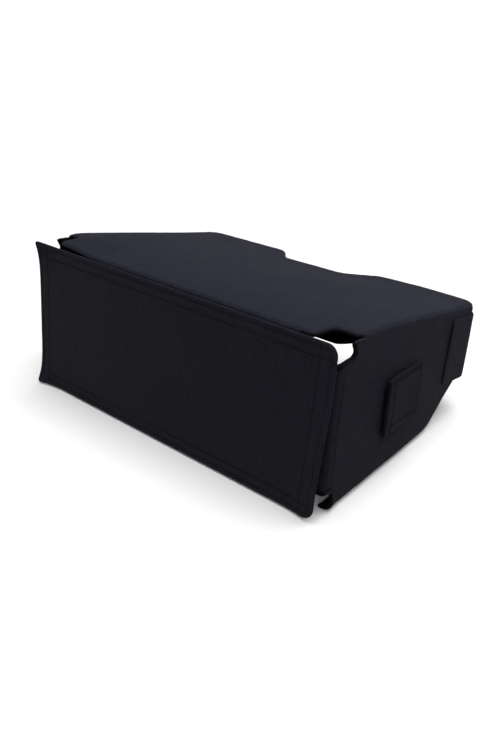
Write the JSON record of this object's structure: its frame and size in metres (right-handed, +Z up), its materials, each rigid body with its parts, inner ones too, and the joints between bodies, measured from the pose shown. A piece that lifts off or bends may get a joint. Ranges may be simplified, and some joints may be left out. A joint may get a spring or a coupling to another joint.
{
  "type": "loudspeaker cover",
  "caption": "Padded fitted cover for a wedge-shaped line-array loudspeaker, open underneath, with a stiff flat front, corner cut-outs for rigging, handle flaps and a wrap-round rear flap.",
  "frame": {"origin": "underside of the top panel, on the centre plane and near its middle, where the cover hangs on the loudspeaker", "axes": "+X to the cover's right seen from its front, +Y from the front to the rear, +Z up"},
  "size_m": [0.7494, 0.5391, 0.3047],
  "materials": {
    "padded_cloth": "matt black coated polyester cloth on foam",
    "front_cloth": "matt black coated polyester cloth over a stiff board",
    "binding_tape": "black woven polyester binding tape"
  },
  "bodies": {
    "root": {"top_panel": "padded_cloth", "side_panel_right": "padded_cloth", "side_panel_left": "padded_cloth", "rear_flap": "padded_cloth", "handle_flap_right": "padded_cloth", "handle_flap_left": "padded_cloth", "front_panel": "front_cloth", "corner_binding_top_right": "binding_tape", "corner_binding_top_left": "binding_tape", "corner_binding_floor_right": "binding_tape", "corner_binding_floor_left": "binding_tape"}
  },
  "joints": []
}
